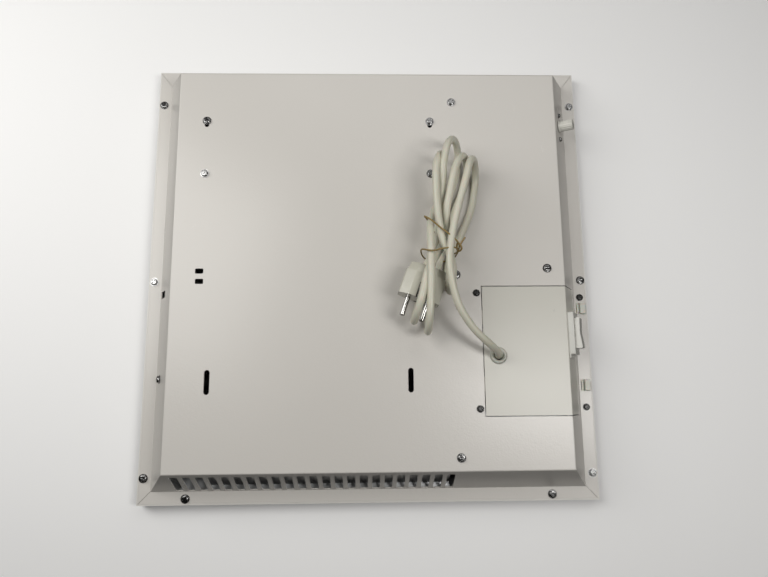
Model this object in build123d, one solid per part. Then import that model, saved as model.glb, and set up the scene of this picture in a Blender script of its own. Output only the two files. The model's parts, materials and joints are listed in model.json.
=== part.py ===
"""LED panel light, square wall type, lying face down with its rear housing upwards.

Frame: millimetres, +Z up. The origin is under the middle of the panel, on the plane of the front bezel.
X runs along the panel's lower edge, and Y runs up the panel, away from the ventilated lower side.
Each section below makes the pieces of one assembly, and every piece is written to parts/NODE.step.
"""
from build123d import *
import math
import os

# ---- driving dimensions ------------------------------------------------------------------
PANEL = 450.0            # outside of the front frame, both ways
HALF = PANEL / 2
SHEET = 1.0              # folded steel sheet
BEND = 1.6               # outside radius where the sheet is folded
FRAME_DEPTH = 12.0       # front face to the ledge that carries the rear housing
LIP_WIDTH = 16.0         # bezel seen from the front
LIP_THICK = 1.6
RAIL_WALL = 1.2
LEDGE_WIDTH = 12.0
LEDGE_THICK = 2.0
RISE = 32.5              # flange face to rear plate
FLANGE = 12.8            # width of the side and lower flanges, with the rail's wall
TOP_FLANGE = 15.8
SIDE_RUN = 19.4          # how far the left and right slopes lean in
LOWER_RUN = 19.5
TOP_RUN = 2.5            # the top side stands almost upright
COVER_GAP = 0.8          # open line round the access cover

FLANGE_Z = FRAME_DEPTH + SHEET
PLATE_Z = FLANGE_Z + RISE
UNDER_Z = PLATE_Z - SHEET

BASE_X = HALF - FLANGE
BASE_TOP = HALF - TOP_FLANGE
PLATE_X = BASE_X - SIDE_RUN
PLATE_LOW = -(BASE_X - LOWER_RUN)
PLATE_TOP = BASE_TOP - TOP_RUN

os.makedirs("parts", exist_ok=True)


# ---- helpers -----------------------------------------------------------------------------
def save(name, *solids):
    """Writes one node: a single solid, or a group of separate solids."""
    shape = solids[0] if len(solids) == 1 else Compound(children=list(solids))
    export_step(shape, f"parts/{name}.step")


def block(x0, x1, y0, y1, z0, z1):
    """A box given by its limits."""
    return Pos((x0 + x1) / 2, (y0 + y1) / 2, (z0 + z1) / 2) * Box(x1 - x0, y1 - y0, z1 - z0)


def disc(x, y, z0, z1, radius):
    """An upright cylinder between two heights."""
    return Pos(x, y, (z0 + z1) / 2) * Cylinder(radius, z1 - z0)


def slope_length(run):
    return math.hypot(RISE, run)


def on_right_slope(y, height):
    """A plane on the right slope's face: local X is +Y, local Y runs up the slope, local Z points out."""
    length = slope_length(SIDE_RUN)
    origin = (BASE_X - SIDE_RUN * height / RISE, y, FLANGE_Z + height)
    return Plane(origin, x_dir=(0, 1, 0), z_dir=(RISE / length, 0, SIDE_RUN / length))


def on_left_slope(y, height):
    length = slope_length(SIDE_RUN)
    origin = (-BASE_X + SIDE_RUN * height / RISE, y, FLANGE_Z + height)
    return Plane(origin, x_dir=(0, -1, 0), z_dir=(-RISE / length, 0, SIDE_RUN / length))


def on_lower_slope(x, height):
    """Local X is +X, and local Y runs up the slope."""
    length = slope_length(LOWER_RUN)
    origin = (x, -BASE_X + LOWER_RUN * height / RISE, FLANGE_Z + height)
    return Plane(origin, x_dir=(1, 0, 0), z_dir=(0, -RISE / length, LOWER_RUN / length))


def rounded_bar(length, width, height, radius):
    """A bar centred on the origin with rounded upright edges."""
    return extrude(RectangleRounded(length, width, radius), height / 2, both=True)


# ---- screws ------------------------------------------------------------------------------
WASHER_THICK = 0.7
RECESS_WIDTH = 0.9


def pan_screw(head_radius, head_height, shank_radius, shank_length):
    """A cross-recessed pan head with a pressed-on washer; the seat is at z = 0 and the shank points down."""
    washer = Pos(0, 0, WASHER_THICK / 2) * Cylinder(head_radius, WASHER_THICK)
    dome_radius = head_radius * 0.8
    dome = Pos(0, 0, WASHER_THICK + head_height / 2) * Cylinder(dome_radius, head_height)
    dome = fillet(dome.edges().group_by(Axis.Z)[-1], min(head_height, dome_radius) * 0.6)
    shank = Pos(0, 0, -shank_length / 2) * Cylinder(shank_radius, shank_length)
    shank = chamfer(shank.edges().group_by(Axis.Z)[0], shank_radius * 0.4)
    screw = washer + dome + shank
    top = WASHER_THICK + head_height
    for angle in (30, 120):
        arm = Pos(0, 0, top - 0.5) * Box(dome_radius * 1.25, RECESS_WIDTH, 1.4)
        screw -= Rot(0, 0, angle) * arm
    return screw


PANEL_SCREW = dict(head_radius=4.3, head_height=1.9, shank_radius=1.5, shank_length=3.8)
COVER_SCREW = dict(head_radius=3.5, head_height=1.7, shank_radius=1.3, shank_length=3.8)
SMALL_SCREW = dict(head_radius=2.7, head_height=1.3, shank_radius=1.1, shank_length=4.0)
CLEARANCE = 0.15          # hole radius over shank radius

# ---- where the fixings are ---------------------------------------------------------------
FLANGE_LINE = HALF - 5.4                      # screw line on the flanges
SIDE_SCREW_Y = (187.0, -6.3, -199.5)
END_SCREW_X = (-178.5, 178.5)
FLANGE_SCREWS = [(side * FLANGE_LINE, y) for side in (-1, 1) for y in SIDE_SCREW_Y]
FLANGE_SCREWS += [(x, end) for end in (-FLANGE_LINE + 0.6, FLANGE_LINE - 1.4) for x in END_SCREW_X]

HANGER_X = (-164.2, 62.6)
HANGER_Y = (154.2, 98.0)
HANGER_SCREWS = [(x, y) for x in HANGER_X for y in HANGER_Y]
DIVIDER_X = 85.2
DIVIDER_SCREWS = [(DIVIDER_X, y) for y in (175.5, -6.0, -180.4)]
DRIVER_SCREW = (175.7, 0.2)
PLATE_SCREWS = HANGER_SCREWS + DIVIDER_SCREWS + [DRIVER_SCREW]

TRAY_SCREW_Y = (-24.3, -135.7)
TRAY_SCREW_X = 104.6
TRAY_FLANGE_X = 217.8
COVER_SCREWS = [(TRAY_SCREW_X, y, PLATE_Z) for y in TRAY_SCREW_Y]
COVER_SCREWS += [(TRAY_FLANGE_X, y, FLANGE_Z) for y in TRAY_SCREW_Y]

SLOT_WIDTH, SLOT_LENGTH = 5.0, 23.0
WALL_SLOTS = [(-154.2, -108.8), (39.2, -108.2)]
TIE_HOLES = [(-165.6, -1.5), (-165.3, -11.7)]
TIE_HOLE = (8.0, 5.1)
KEYHOLE_DROP = 4.3
KEYHOLE_RADIUS = 2.3

# access cover, on the rear plate and the right slope
COVER_LEFT = 110.0
COVER_TOP, COVER_LOW = -18.0, -142.3
COVER_FOOT = 7.8                 # height above the flange where the cover stops on the slope

# parts that stand on the right slope
SWITCH_Y, SWITCH_HEIGHT = -64.0, 22.6
BEZEL_LENGTH, BEZEL_WIDTH, BEZEL_PROUD = 42.0, 18.6, 5.6
KNOB_Y, KNOB_HEIGHT = 154.5, 20.0
DIMMER_SCREW_OFFSET = 13.2
CLIP_Y = (-36.0, -114.0)
CLIP_X = 218.2
CLIP_LENGTH, CLIP_WIDTH = 11.6, 8.8
SIDE_SLOT_Y, SIDE_SLOT_HEIGHT = -21.0, 8.5
LEFT_SCREW_Y, LEFT_SCREW_HEIGHT = -105.1, 11.2

# ---- front frame: four mitred rails and the keys in their corners --------------------------
def rail_profile():
    """The rail's section: X is the distance in from the panel's edge and Y is the height."""
    points = [
        (0, 0), (LIP_WIDTH, 0), (LIP_WIDTH, LIP_THICK), (RAIL_WALL, LIP_THICK),
        (RAIL_WALL, FRAME_DEPTH - LEDGE_THICK), (LEDGE_WIDTH, FRAME_DEPTH - LEDGE_THICK),
        (LEDGE_WIDTH, FRAME_DEPTH), (RAIL_WALL, FRAME_DEPTH), (RAIL_WALL, FLANGE_Z), (0, FLANGE_Z),
    ]
    return make_face(Polyline(*points, close=True))


def rail(angle):
    """The lower rail, mitred at both ends and turned about the middle of the panel."""
    length = PANEL + 2.0
    section = Plane((0, -HALF, 0), x_dir=(0, 1, 0), z_dir=(1, 0, 0)) * rail_profile()
    bar = extrude(section, length / 2, both=True)
    triangle = make_face(Polyline((0, 0), (-PANEL, -PANEL), (PANEL, -PANEL), close=True))
    wedge = extrude(triangle, PANEL)
    return Rot(0, 0, angle) * (bar & wedge)


def pilot_holes(piece):
    for x, y in FLANGE_SCREWS + [(TRAY_FLANGE_X, y) for y in TRAY_SCREW_Y]:
        piece -= disc(x, y, FRAME_DEPTH - LEDGE_THICK - 1, FLANGE_Z + 1, PANEL_SCREW["shank_radius"] + CLEARANCE)
    return piece


for rail_name, turn in (("bottom", 0), ("right", 90), ("top", 180), ("left", 270)):
    save(f"frame_rail_{rail_name}", pilot_holes(rail(turn)))

KEY_LEG, KEY_WIDTH, KEY_THICK = 19.0, 7.0, 0.9
key_low = FRAME_DEPTH - LEDGE_THICK - KEY_THICK
key_edge = HALF - RAIL_WALL - 0.1
keys = []
for turn in range(4):
    key = block(key_edge - KEY_LEG, key_edge, key_edge - KEY_WIDTH, key_edge, key_low, key_low + KEY_THICK)
    key += block(key_edge - KEY_WIDTH, key_edge, key_edge - KEY_LEG, key_edge, key_low, key_low + KEY_THICK)
    keys.append(Rot(0, 0, 90 * turn) * key)
save("frame_corner_keys", *keys)

# ---- optical stack ------------------------------------------------------------------------
DIFFUSER_THICK, GUIDE_THICK, REFLECTOR_THICK, BACK_THICK = 2.0, 4.0, 0.4, 0.9
STACK_HALF = HALF - RAIL_WALL - 0.5
BAR_THICK, BOARD_THICK, LED_THICK = 3.0, 1.0, 0.8
diffuser_top = LIP_THICK + DIFFUSER_THICK
guide_top = diffuser_top + GUIDE_THICK
reflector_top = guide_top + REFLECTOR_THICK
back_top = reflector_top + BACK_THICK
guide_x = STACK_HALF - BAR_THICK - BOARD_THICK - LED_THICK - 0.2

save("diffuser_sheet", block(-STACK_HALF, STACK_HALF, -STACK_HALF, STACK_HALF, LIP_THICK, diffuser_top))
save("light_guide", block(-guide_x, guide_x, -STACK_HALF, STACK_HALF, diffuser_top, guide_top))
save("reflector_sheet", block(-guide_x, guide_x, -STACK_HALF, STACK_HALF, guide_top, reflector_top))
save("back_sheet", block(-STACK_HALF, STACK_HALF, -STACK_HALF, STACK_HALF, reflector_top, back_top - 0.1))

LED_PITCH, LED_LENGTH, LED_COUNT = 10.0, 3.5, 43
bar_x = STACK_HALF - BAR_THICK
board_x = bar_x - BOARD_THICK
led_x = board_x - LED_THICK
strip_half = STACK_HALF - 4
for side, strip_name in ((-1, "left"), (1, "right")):
    flip = Rot(0, 0, 0 if side > 0 else 180)
    heat_bar = block(bar_x, STACK_HALF, -strip_half, strip_half, diffuser_top, reflector_top)
    board = block(board_x, bar_x, -strip_half, strip_half, diffuser_top, reflector_top)
    save(f"led_heat_bar_{strip_name}", flip * heat_bar)
    save(f"led_board_{strip_name}", flip * board)
    leds = []
    for index in range(LED_COUNT):
        y = (index - (LED_COUNT - 1) / 2) * LED_PITCH
        led = block(led_x, board_x, y - LED_LENGTH / 2, y + LED_LENGTH / 2, diffuser_top + 0.6, guide_top - 0.4)
        leds.append(flip * led)
    save(f"leds_{strip_name}", *leds)


# ---- rear housing: folded sheet with a plate, four sides and four flanges --------------------
def pyramid_block(inset, drop):
    """The space under the rear plate, as a solid; inset is the sheet's thickness for the inside."""
    side = inset * slope_length(SIDE_RUN) / RISE
    lower = inset * slope_length(LOWER_RUN) / RISE
    top = inset * slope_length(TOP_RUN) / RISE
    low_z, high_z = FRAME_DEPTH, PLATE_Z - drop

    def outline(z):
        share = (z - FLANGE_Z) / RISE
        x = BASE_X - SIDE_RUN * share - side
        y_low = -(BASE_X - LOWER_RUN * share) + lower
        y_high = BASE_TOP - TOP_RUN * share - top
        corners = [(-x, y_low), (x, y_low), (x, y_high), (-x, y_high)]
        return Pos(0, 0, z) * make_face(Polyline(*corners, close=True))

    body = loft([outline(low_z), outline(high_z)], ruled=True)
    return fillet(body.edges().group_by(Axis.Z)[-1], BEND - inset)


def vent_slots():
    """The row of upright slots in the lower slope."""
    first, pitch, count = -183.2, 11.8, 23
    width, low, high, corner = 7.6, 1.4, 27.4, 1.9
    length = (high - low) / RISE * slope_length(LOWER_RUN)
    slot = rounded_bar(width, length, 6 * SHEET, corner)
    return [on_lower_slope(first + pitch * k, (low + high) / 2) * slot for k in range(count)]


def cover_opening(gap):
    """The window that the access cover closes, as a cutting block, larger by gap all round."""
    foot = FLANGE_Z + COVER_FOOT - gap
    return block(COVER_LEFT - gap, BASE_X + 5, COVER_LOW - gap, COVER_TOP + gap, foot, PLATE_Z + 5)


housing = pyramid_block(0, 0) - pyramid_block(SHEET, SHEET)
edge = HALF - RAIL_WALL - 0.1
FLANGE_LAP = 1.2         # the flanges run a little under the slopes' feet
flange_ring = block(-edge, edge, -edge, edge, FRAME_DEPTH, FLANGE_Z)
flange_ring -= block(-BASE_X + FLANGE_LAP, BASE_X - FLANGE_LAP, -BASE_X + FLANGE_LAP, BASE_TOP - FLANGE_LAP, 0, PLATE_Z)
MITRE_GAP = 0.5
for side in (-1, 1):
    for foot_y, outer_y in ((-BASE_X, -edge - 1), (BASE_TOP, edge + 1)):
        foot, outer = Vector(side * (BASE_X + 0.3), foot_y), Vector(side * (edge + 1), outer_y)
        slit = Pos(*(foot + outer) / 2) * Rot(0, 0, math.degrees(math.atan2(outer.Y - foot.Y, outer.X - foot.X)))
        flange_ring -= slit * Box((outer - foot).length, MITRE_GAP, 4 * FRAME_DEPTH)
housing += flange_ring
for slot_cut in vent_slots():
    housing -= slot_cut
for x, y in FLANGE_SCREWS:
    housing -= disc(x, y, FRAME_DEPTH - 1, FLANGE_Z + 1, PANEL_SCREW["shank_radius"] + CLEARANCE)
for x, y in PLATE_SCREWS:
    housing -= disc(x, y, UNDER_Z - 1, PLATE_Z + 1, PANEL_SCREW["shank_radius"] + CLEARANCE)
for x, y, z in COVER_SCREWS:
    housing -= disc(x, y, z - 2, z + 1, COVER_SCREW["shank_radius"] + CLEARANCE)
for x in HANGER_X:
    housing -= disc(x, HANGER_Y[0] - KEYHOLE_DROP, UNDER_Z - 1, PLATE_Z + 1, KEYHOLE_RADIUS)
SLOT_RIM = 0.4           # bevel round the wall slots
for x, y in WALL_SLOTS:
    housing -= Pos(x, y, PLATE_Z) * extrude(Rot(0, 0, 90) * SlotOverall(SLOT_LENGTH, SLOT_WIDTH), 4, both=True)
    rim = Rot(0, 0, 90) * SlotOverall(SLOT_LENGTH + 2 * SLOT_RIM, SLOT_WIDTH + 2 * SLOT_RIM)
    housing -= Pos(x, y, PLATE_Z) * extrude(rim, -SLOT_RIM, taper=45)
for x, y in TIE_HOLES:
    housing -= Pos(x, y, PLATE_Z) * rounded_bar(TIE_HOLE[0], TIE_HOLE[1], 6, 1.2)
for y in CLIP_Y:
    housing -= Pos(CLIP_X, y, FLANGE_Z) * rounded_bar(CLIP_WIDTH + 0.4, CLIP_LENGTH + 0.4, 4, 1.0)
housing -= on_left_slope(SIDE_SLOT_Y, SIDE_SLOT_HEIGHT) * rounded_bar(7.0, 15.5, 6, 0.8)
housing -= on_left_slope(LEFT_SCREW_Y, LEFT_SCREW_HEIGHT) * Cylinder(PANEL_SCREW["shank_radius"] + CLEARANCE, 6)
housing -= on_right_slope(KNOB_Y, KNOB_HEIGHT) * Cylinder(4.2, 8)
for offset in (-DIMMER_SCREW_OFFSET, DIMMER_SCREW_OFFSET):
    screw_hole = Cylinder(SMALL_SCREW["shank_radius"] + CLEARANCE, 6)
    housing -= on_right_slope(KNOB_Y + offset, KNOB_HEIGHT - 1.5) * screw_hole
housing -= cover_opening(COVER_GAP)
save("rear_housing", housing)

# ---- access cover: bent sheet, flush with the plate and the right slope ----------------------
GROMMET_X, GROMMET_Y = 124.0, -85.5
GROMMET_HOLE = 6.0
SWITCH_BODY = (37.0, 15.0)
cover = (pyramid_block(0, 0) - pyramid_block(SHEET, SHEET)) & cover_opening(0)
cover -= on_right_slope(SWITCH_Y, SWITCH_HEIGHT) * Box(SWITCH_BODY[0] + 0.3, SWITCH_BODY[1] + 0.3, 8)
cover -= disc(GROMMET_X, GROMMET_Y, UNDER_Z - 1, PLATE_Z + 1, GROMMET_HOLE)
COVER_TABS = (COVER_TOP - 30, COVER_LOW + 30)
for y in COVER_TABS:
    cover += block(COVER_LEFT - 5, COVER_LEFT + 8, y - 7, y + 7, UNDER_Z - SHEET, UNDER_Z)
save("access_cover", cover)

# ---- cable grommet, clamp and terminal block under the cover ---------------------------------
CORD_RADIUS = 3.5
BORE = CORD_RADIUS + 0.9         # the clamp inside holds the cord, so the grommet's bore is loose
GROMMET_RIM, GROMMET_PROUD = 8.2, 2.2
grommet_section = Polyline(
    (BORE, UNDER_Z - 5.0), (GROMMET_HOLE - 0.4, UNDER_Z - 5.0), (GROMMET_HOLE + 1.4, UNDER_Z - 1.6),
    (GROMMET_HOLE + 1.4, UNDER_Z - 0.05), (GROMMET_HOLE - 0.1, UNDER_Z - 0.05),
    (GROMMET_HOLE - 0.1, PLATE_Z + 0.05), (GROMMET_RIM, PLATE_Z + 0.05), (GROMMET_RIM, PLATE_Z + 0.9),
    (GROMMET_RIM - 1.4, PLATE_Z + GROMMET_PROUD), (BORE + 1.2, PLATE_Z + GROMMET_PROUD), (BORE, PLATE_Z + 1.2), close=True,
)
grommet = revolve(make_face(Plane.XZ * grommet_section), Axis.Z)
save("cable_grommet", Pos(GROMMET_X, GROMMET_Y, 0) * grommet)

TRAY_LEFT, TRAY_RIGHT = 97.0, 198.0
TRAY_TOP, TRAY_LOW = COVER_TOP + 8, COVER_LOW - 4
tray_floor = 12.4
tray = block(TRAY_LEFT, TRAY_RIGHT, TRAY_LOW, TRAY_TOP, tray_floor, tray_floor + SHEET)
tray += block(TRAY_LEFT, TRAY_LEFT + SHEET, TRAY_LOW, TRAY_TOP, tray_floor, UNDER_Z)
tray += block(TRAY_LEFT, COVER_LEFT - 1, TRAY_LOW, TRAY_TOP, UNDER_Z - SHEET, UNDER_Z)
for y in TRAY_SCREW_Y:
    tray -= disc(TRAY_SCREW_X, y, UNDER_Z - 2, UNDER_Z + 1, COVER_SCREW["shank_radius"] + CLEARANCE)
for y in COVER_TABS:
    tray -= block(COVER_LEFT - 5.3, COVER_LEFT + 8, y - 7.3, y + 7.3, UNDER_Z - SHEET - 0.3, UNDER_Z + 0.1)
save("wiring_tray", tray)

tray_top = tray_floor + SHEET
CLAMP_X, CLAMP_Y = GROMMET_X + 22, GROMMET_Y - 16
clamp_block = block(CLAMP_X - 4, CLAMP_X + 4, CLAMP_Y - 13, CLAMP_Y + 13, tray_top, tray_top + 7)
clamp_bar = block(CLAMP_X - 4, CLAMP_X + 4, CLAMP_Y - 13, CLAMP_Y + 13, tray_top + 7.2, tray_top + 11.5)
inner_cord = Pos(CLAMP_X, CLAMP_Y, tray_top + 7.1) * Rot(0, 90, 0) * Cylinder(CORD_RADIUS + 0.05, 30)
clamp_screws = []
for y in (CLAMP_Y - 9.5, CLAMP_Y + 9.5):
    clamp_block -= disc(CLAMP_X, y, tray_top - 1, tray_top + 8, 1.25)
    clamp_bar -= disc(CLAMP_X, y, tray_top + 6, tray_top + 13, 1.25)
    clamp_screws.append(Pos(CLAMP_X, y, tray_top + 11.5) * pan_screw(2.7, 1.3, 1.1, 9.0))
save("cord_clamp_block", clamp_block - inner_cord)
save("cord_clamp_bar", clamp_bar - inner_cord)
save("cord_clamp_screws", *clamp_screws)

POLES, POLE_PITCH = 3, 10.0
terminal_x, terminal_y = 176.0, -112.0
terminal = block(terminal_x - 8, terminal_x + 8, terminal_y - 16, terminal_y + 16, tray_top, tray_top + 14)
terminal = chamfer(terminal.edges().filter_by(Axis.Y).group_by(Axis.Z)[-1], 2.5)
terminal_screws = []
for pole in range(POLES):
    y = terminal_y + (pole - 1) * POLE_PITCH
    terminal -= Pos(terminal_x, y, tray_top + 5) * Rot(0, 90, 0) * Cylinder(2.2, 20)
    for x in (terminal_x - 4, terminal_x + 4):
        terminal -= disc(x, y, tray_top + 8, tray_top + 15, 2.0)
        screw_body = disc(x, y, tray_top + 8.1, tray_top + 12, 1.8)
        terminal_screws.append(screw_body - (Pos(x, y, tray_top + 12) * Box(4, 0.7, 1.2)))
save("terminal_block", terminal)
save("terminal_screws", *terminal_screws)

# ---- supports and the driver inside the housing ----------------------------------------------
strip_low = UNDER_Z - 1.5
for side_name, x in zip(("left", "right"), HANGER_X):
    hanger = block(x - 9, x + 9, HANGER_Y[1] - 16, HANGER_Y[0] + 16, strip_low, UNDER_Z)
    for y in HANGER_Y:
        hanger -= disc(x, y, strip_low - 1, UNDER_Z + 1, PANEL_SCREW["shank_radius"] + CLEARANCE)
    hanger -= disc(x, HANGER_Y[0] - KEYHOLE_DROP, strip_low - 1, UNDER_Z + 1, KEYHOLE_RADIUS)
    save(f"hanger_plate_{side_name}", hanger)

floor_z = back_top + 0.1
DIVIDER_EDGE = DIVIDER_X + 8
divider = block(DIVIDER_X - 7, DIVIDER_EDGE, PLATE_LOW + 6, PLATE_TOP - 6, UNDER_Z - SHEET, UNDER_Z)
divider += block(DIVIDER_EDGE - SHEET, DIVIDER_EDGE, PLATE_LOW + 6, PLATE_TOP - 6, floor_z, UNDER_Z)
divider += block(DIVIDER_X - 5, DIVIDER_EDGE, PLATE_LOW + 6, PLATE_TOP - 6, floor_z, floor_z + SHEET)
for x, y in DIVIDER_SCREWS:
    divider -= disc(x, y, UNDER_Z - 2, UNDER_Z + 1, PANEL_SCREW["shank_radius"] + CLEARANCE)
for y in (-150.0, 8.0):
    divider -= block(DIVIDER_EDGE - 3, DIVIDER_EDGE + 2, y - 5, y + 5, 22, 32)
save("compartment_divider", divider)

# ---- vent baffle: folded sheet behind most of the vent row -------------------------------------
BAFFLE_LEFT, BAFFLE_RIGHT, BAFFLE_DEPTH = -160.0, 77.0, 7.0
baffle_plane = on_lower_slope((BAFFLE_LEFT + BAFFLE_RIGHT) / 2, RISE / 2) * Pos(0, 0, -BAFFLE_DEPTH)
baffle = baffle_plane * Box(BAFFLE_RIGHT - BAFFLE_LEFT, 60, SHEET)
baffle &= block(BAFFLE_LEFT, BAFFLE_RIGHT, -HALF, 0, floor_z + 0.5, UNDER_Z)
baffle_top = PLATE_LOW + BAFFLE_DEPTH * slope_length(LOWER_RUN) / RISE
baffle += block(BAFFLE_LEFT, BAFFLE_RIGHT, baffle_top - 1, baffle_top + 9, UNDER_Z - SHEET, UNDER_Z)
save("vent_baffle", baffle)

driver_x, driver_y = DRIVER_SCREW
bracket_front = driver_y + 7.5
bracket = block(driver_x - 9, driver_x + 9, driver_y - 7, bracket_front, UNDER_Z - SHEET, UNDER_Z)
bracket += block(driver_x - 9, driver_x + 9, bracket_front, bracket_front + SHEET, floor_z, UNDER_Z)
bracket += block(driver_x - 40, driver_x + 9, bracket_front, bracket_front + 9, floor_z, floor_z + SHEET)
bracket -= disc(driver_x, driver_y, UNDER_Z - 2, UNDER_Z + 1, PANEL_SCREW["shank_radius"] + CLEARANCE)
save("driver_bracket", bracket)

DRIVER = (44.0, 118.0, 24.0)
driver_centre = (140.0, bracket_front + 12 + DRIVER[1] / 2, floor_z + SHEET + 0.2 + DRIVER[2] / 2)
driver = Pos(*driver_centre) * Box(*DRIVER)
driver = fillet(driver.edges().filter_by(Axis.Z), 3.0)
save("led_driver", driver)

stud_plane = on_left_slope(LEFT_SCREW_Y, LEFT_SCREW_HEIGHT)
save("earth_screw", stud_plane * pan_screw(**PANEL_SCREW))
earth_tag = Pos(0, 0, -SHEET - 0.5) * rounded_bar(10, 7, 0.8, 2.0)
earth_tag -= Pos(0, 0, -SHEET) * Cylinder(PANEL_SCREW["shank_radius"] + CLEARANCE, 4)
save("earth_tag", stud_plane * earth_tag)

# ---- screws as groups of separate solids ------------------------------------------------------
save("flange_screws", *[Pos(x, y, FLANGE_Z) * Rot(0, 0, 17 * i) * pan_screw(**PANEL_SCREW)
                        for i, (x, y) in enumerate(FLANGE_SCREWS)])
save("plate_screws", *[Pos(x, y, PLATE_Z) * Rot(0, 0, 23 * i) * pan_screw(**PANEL_SCREW)
                       for i, (x, y) in enumerate(PLATE_SCREWS)])
save("cover_screws", *[Pos(x, y, z) * Rot(0, 0, 31 * i) * pan_screw(**COVER_SCREW)
                       for i, (x, y, z) in enumerate(COVER_SCREWS)])

# ---- retaining clips in the right flange -------------------------------------------------------
CLIP_TOP = 4.2
for clip_name, y in zip(("upper", "lower"), CLIP_Y):
    base = Pos(0, 0, 0.7) * rounded_bar(CLIP_WIDTH, CLIP_LENGTH, 1.3, 0.8)
    tower = Pos(1.1, 0, 1.2 + CLIP_TOP / 2) * rounded_bar(CLIP_WIDTH * 0.66, CLIP_LENGTH * 0.94, CLIP_TOP, 1.2)
    tower = fillet(tower.edges().group_by(Axis.Z)[-1], 0.7)
    hook = Pos(-3.2, 0, 1.9) * rounded_bar(1.6, CLIP_LENGTH * 0.7, 1.6, 0.4)
    save(f"retaining_clip_{clip_name}", Pos(CLIP_X, y, FRAME_DEPTH) * (base + tower + hook))

# ---- rocker switch on the right slope ----------------------------------------------------------
ROCKER_LENGTH, ROCKER_WIDTH, ROCKER_PROUD = 31.0, 10.6, 5.6
ROCKER_TILT = 3.5
WELL_GAP = 0.5
PIVOT_DEPTH = 3.0                # pivot line below the bezel's face
slope_here = on_right_slope(SWITCH_Y, SWITCH_HEIGHT)
body_depth = 17.0
bezel = Pos(0, 0, BEZEL_PROUD / 2) * rounded_bar(BEZEL_LENGTH, BEZEL_WIDTH, BEZEL_PROUD, 1.6)
bezel = fillet(bezel.edges().group_by(Axis.Z)[-1], 0.6)
BASE_EXTRA, BASE_THICK = 3.2, 1.2           # the bezel's foot reaches further at its lower end
bezel += Pos(-BASE_EXTRA / 2, 0, BASE_THICK / 2) * rounded_bar(
    BEZEL_LENGTH + BASE_EXTRA, BEZEL_WIDTH, BASE_THICK, 0.8)
switch_body = Pos(0, 0, -body_depth / 2) * rounded_bar(*SWITCH_BODY, body_depth, 1.0)
well_low = BEZEL_PROUD - PIVOT_DEPTH - 5.5
well = Pos(0, 0, (well_low + BEZEL_PROUD + 1) / 2) * Box(
    ROCKER_LENGTH + 2 * WELL_GAP, ROCKER_WIDTH + 2 * WELL_GAP, BEZEL_PROUD + 1 - well_low)
PIVOT_RADIUS, PIVOT_REACH = 1.3, 1.6      # stub pins on the rocker's sides, and how far they enter the frame
PIVOT_CLEARANCE = 0.05
pivot_length = ROCKER_WIDTH + 2 * (WELL_GAP + PIVOT_REACH)
pivot_bore = Pos(0, 0, BEZEL_PROUD - PIVOT_DEPTH) * Rot(90, 0, 0) * Cylinder(
    PIVOT_RADIUS + PIVOT_CLEARANCE, pivot_length + 0.4)
save("switch_housing", slope_here * (bezel + switch_body - well - pivot_bore))

rocker_top = PIVOT_DEPTH + ROCKER_PROUD
rocker_side = make_face(Polyline(
    (-ROCKER_LENGTH / 2 + 0.9, -0.6), (0, -3.4), (ROCKER_LENGTH / 2 - 0.9, -0.6),
    (ROCKER_LENGTH / 2 - 0.4, rocker_top), (0, rocker_top - 1.3), (-ROCKER_LENGTH / 2 + 0.4, rocker_top), close=True,
))
rocker = extrude(Plane.XZ * rocker_side, ROCKER_WIDTH / 2, both=True)
rocker = fillet(rocker.edges().filter_by(Axis.Y).group_by(Axis.Z)[-1], 1.4)
rocker += Rot(90, 0, 0) * Cylinder(PIVOT_RADIUS, pivot_length)
pivot_plane = slope_here * Pos(0, 0, BEZEL_PROUD - PIVOT_DEPTH)
save("switch_rocker", pivot_plane * Rot(0, ROCKER_TILT, 0) * rocker)

tabs = []
for x in (-11.0, 0.0, 11.0):
    for y in (-3.5, 3.5):
        tabs.append(slope_here * Pos(x, y, -body_depth - 4.0) * Box(6.3, 0.8, 7.6))
save("switch_terminals", *tabs)

# ---- dimmer: potentiometer, bracket, shaft and knob -----------------------------------------------
SHAFT_RADIUS = 3.0
SHAFT_CLEARANCE = 0.05
KNOB_GAP = 0.8
KNOB_LENGTH, KNOB_RADIUS, SKIRT_RADIUS, SKIRT_THICK = 14.2, 5.5, 6.5, 1.5
dimmer_plane = on_right_slope(KNOB_Y, KNOB_HEIGHT)
bracket_plate = Pos(0, -0.6, -SHEET - 0.85) * rounded_bar(34, 13, 1.5, 2.0)
bracket_plate -= Pos(0, 0, -2) * Cylinder(3.9, 4)
for x in (-DIMMER_SCREW_OFFSET, DIMMER_SCREW_OFFSET):
    bracket_plate -= Pos(x, -1.75, -2) * Cylinder(SMALL_SCREW["shank_radius"] + CLEARANCE, 4)
save("dimmer_bracket", dimmer_plane * bracket_plate)
pot_body = Pos(0, 0, -7.3) * rounded_bar(17, 15, 9.2, 1.5)
pot_body += Pos(0, 0, -1.9) * Cylinder(3.8, 3.2)
pot_body -= Pos(0, 0, -4.0) * Cylinder(SHAFT_RADIUS + SHAFT_CLEARANCE, 8)
save("dimmer_pot", dimmer_plane * pot_body)
shaft = Pos(0, 0, 1.6) * Cylinder(SHAFT_RADIUS, 17.2)
shaft = chamfer(shaft.edges().group_by(Axis.Z)[-1], 0.5)
save("dimmer_shaft", dimmer_plane * Pos(0, 0, 0.6) * shaft)

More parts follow.
